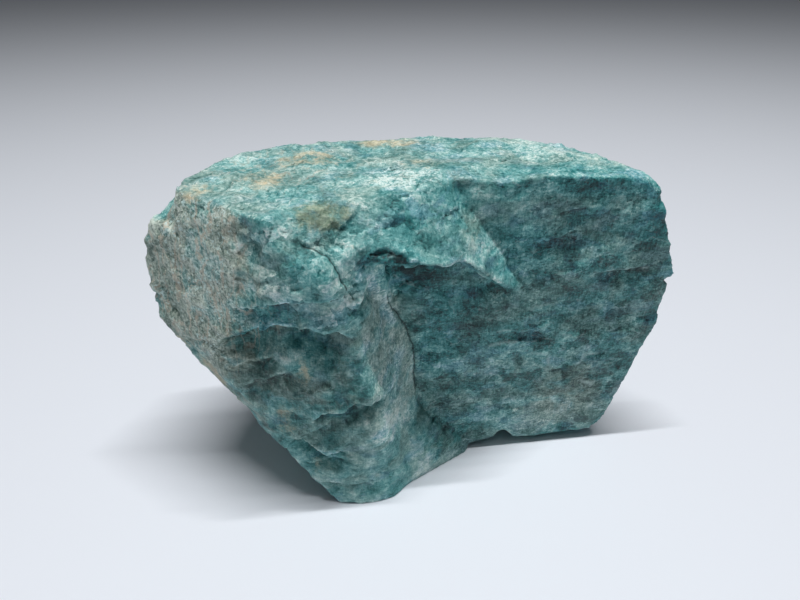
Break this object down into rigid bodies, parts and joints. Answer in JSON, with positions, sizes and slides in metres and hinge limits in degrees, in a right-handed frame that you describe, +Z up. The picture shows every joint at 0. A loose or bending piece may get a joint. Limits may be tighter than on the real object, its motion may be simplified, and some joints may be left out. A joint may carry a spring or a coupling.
{
  "type": "raw amazonite",
  "caption": "Rough broken chunk of blue-green amazonite feldspar with a flat top, an overhanging brow, a recessed front panel and a tapering foot; it stands as a natural display stone.",
  "frame": {"origin": "bottom centre of the chunk's box, on the ground that it rests on", "axes": "+Z up, +X along the longest side, -Y towards the side with the overhanging brow and the recessed panel"},
  "size_m": [0.0808, 0.039, 0.0548],
  "materials": {
    "amazonite": "rough broken feldspar, matt with a faint pearly lustre on the cleavage faces"
  },
  "bodies": {
    "root": {"amazonite": "amazonite"}
  },
  "joints": []
}
